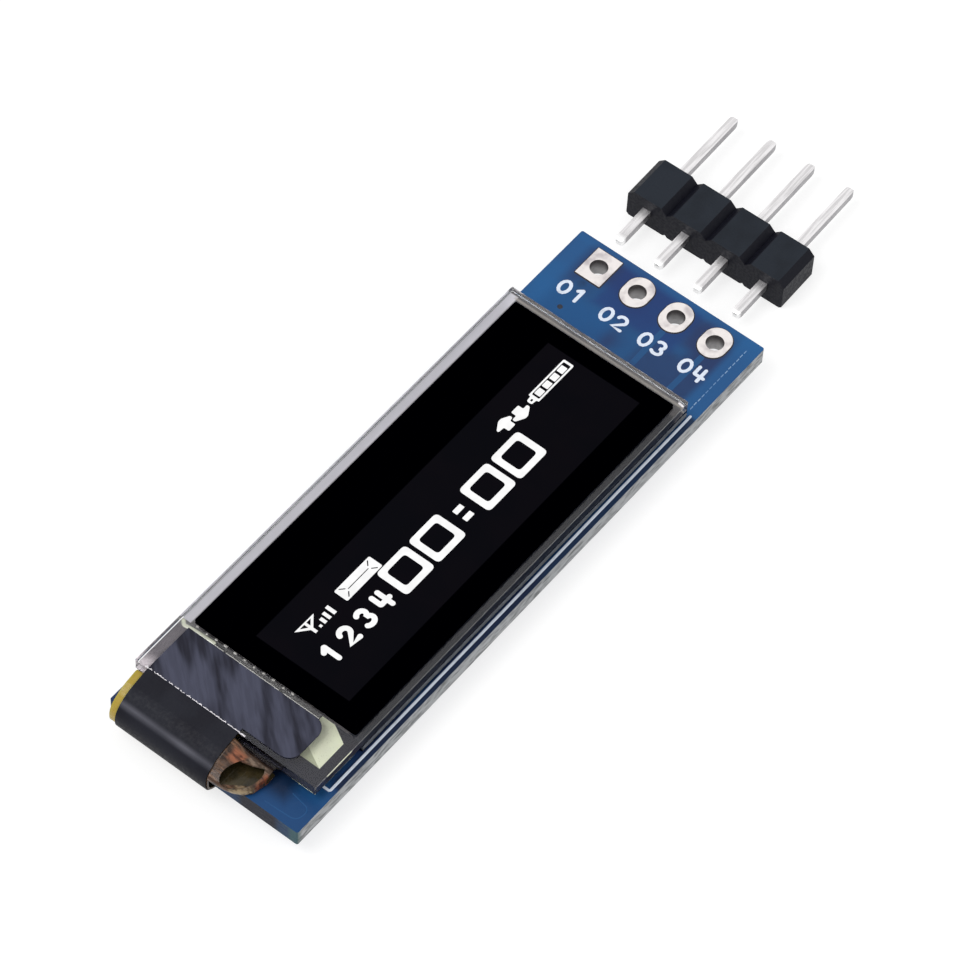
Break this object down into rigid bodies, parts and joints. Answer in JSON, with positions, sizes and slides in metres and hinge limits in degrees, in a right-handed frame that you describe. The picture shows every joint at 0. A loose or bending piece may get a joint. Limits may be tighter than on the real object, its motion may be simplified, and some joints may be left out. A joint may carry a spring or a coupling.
{
  "type": "small graphic display module",
  "caption": "Narrow circuit board carrying a thin glass graphic display with a folded flexible tail, its back parts, and a loose pin header strip beside it.",
  "frame": {"origin": "centre of the circuit board's back face", "axes": "+X along the board from the folded tail towards the pin holes, +Y across it, +Z out of the screen"},
  "size_m": [0.0508, 0.012, 0.0038],
  "materials": {
    "board": "gloss",
    "tinned": "satin",
    "tape": "matte",
    "rear_glass": "gloss",
    "front_glass": "gloss",
    "seal": "matte",
    "drying_sheet": "matte",
    "light_layer": "gloss",
    "polarizer": "gloss",
    "silicon": "gloss",
    "resin": "gloss",
    "foam": "matte",
    "polyimide": "gloss",
    "black_film": "satin",
    "capacitor_ceramic": "matte",
    "resistor_ceramic": "gloss",
    "moulding": "matte",
    "header_plastic": "satin",
    "pin_metal": "satin"
  },
  "bodies": {
    "root": {"circuit_board": "board", "pin_pad_1": "tinned", "pin_pad_2": "tinned", "pin_pad_3": "tinned", "pin_pad_4": "tinned", "panel_tape": "tape", "rear_glass": "rear_glass", "seal_frame": "seal", "drying_sheet": "drying_sheet", "front_glass": "front_glass", "light_layer": "light_layer", "polarizer": "polarizer", "driver_chip": "silicon", "edge_resin": "resin", "foam_block": "foam", "flex_tail": "polyimide", "cover_film": "black_film", "tail_joints": "tinned", "capacitor_1": "capacitor_ceramic", "capacitor_2": "capacitor_ceramic", "capacitor_3": "capacitor_ceramic", "capacitor_4": "capacitor_ceramic", "capacitor_5": "capacitor_ceramic", "large_capacitor_1": "capacitor_ceramic", "large_capacitor_2": "capacitor_ceramic", "resistor_1": "resistor_ceramic", "resistor_2": "resistor_ceramic", "resistor_3": "resistor_ceramic", "resistor_4": "resistor_ceramic", "resistor_5": "resistor_ceramic", "regulator_body": "moulding", "regulator_leads": "tinned", "diode_body": "moulding", "diode_leads": "tinned", "header_housing": "header_plastic", "header_pin_1": "pin_metal", "header_pin_2": "pin_metal", "header_pin_3": "pin_metal", "header_pin_4": "pin_metal"}
  },
  "joints": []
}
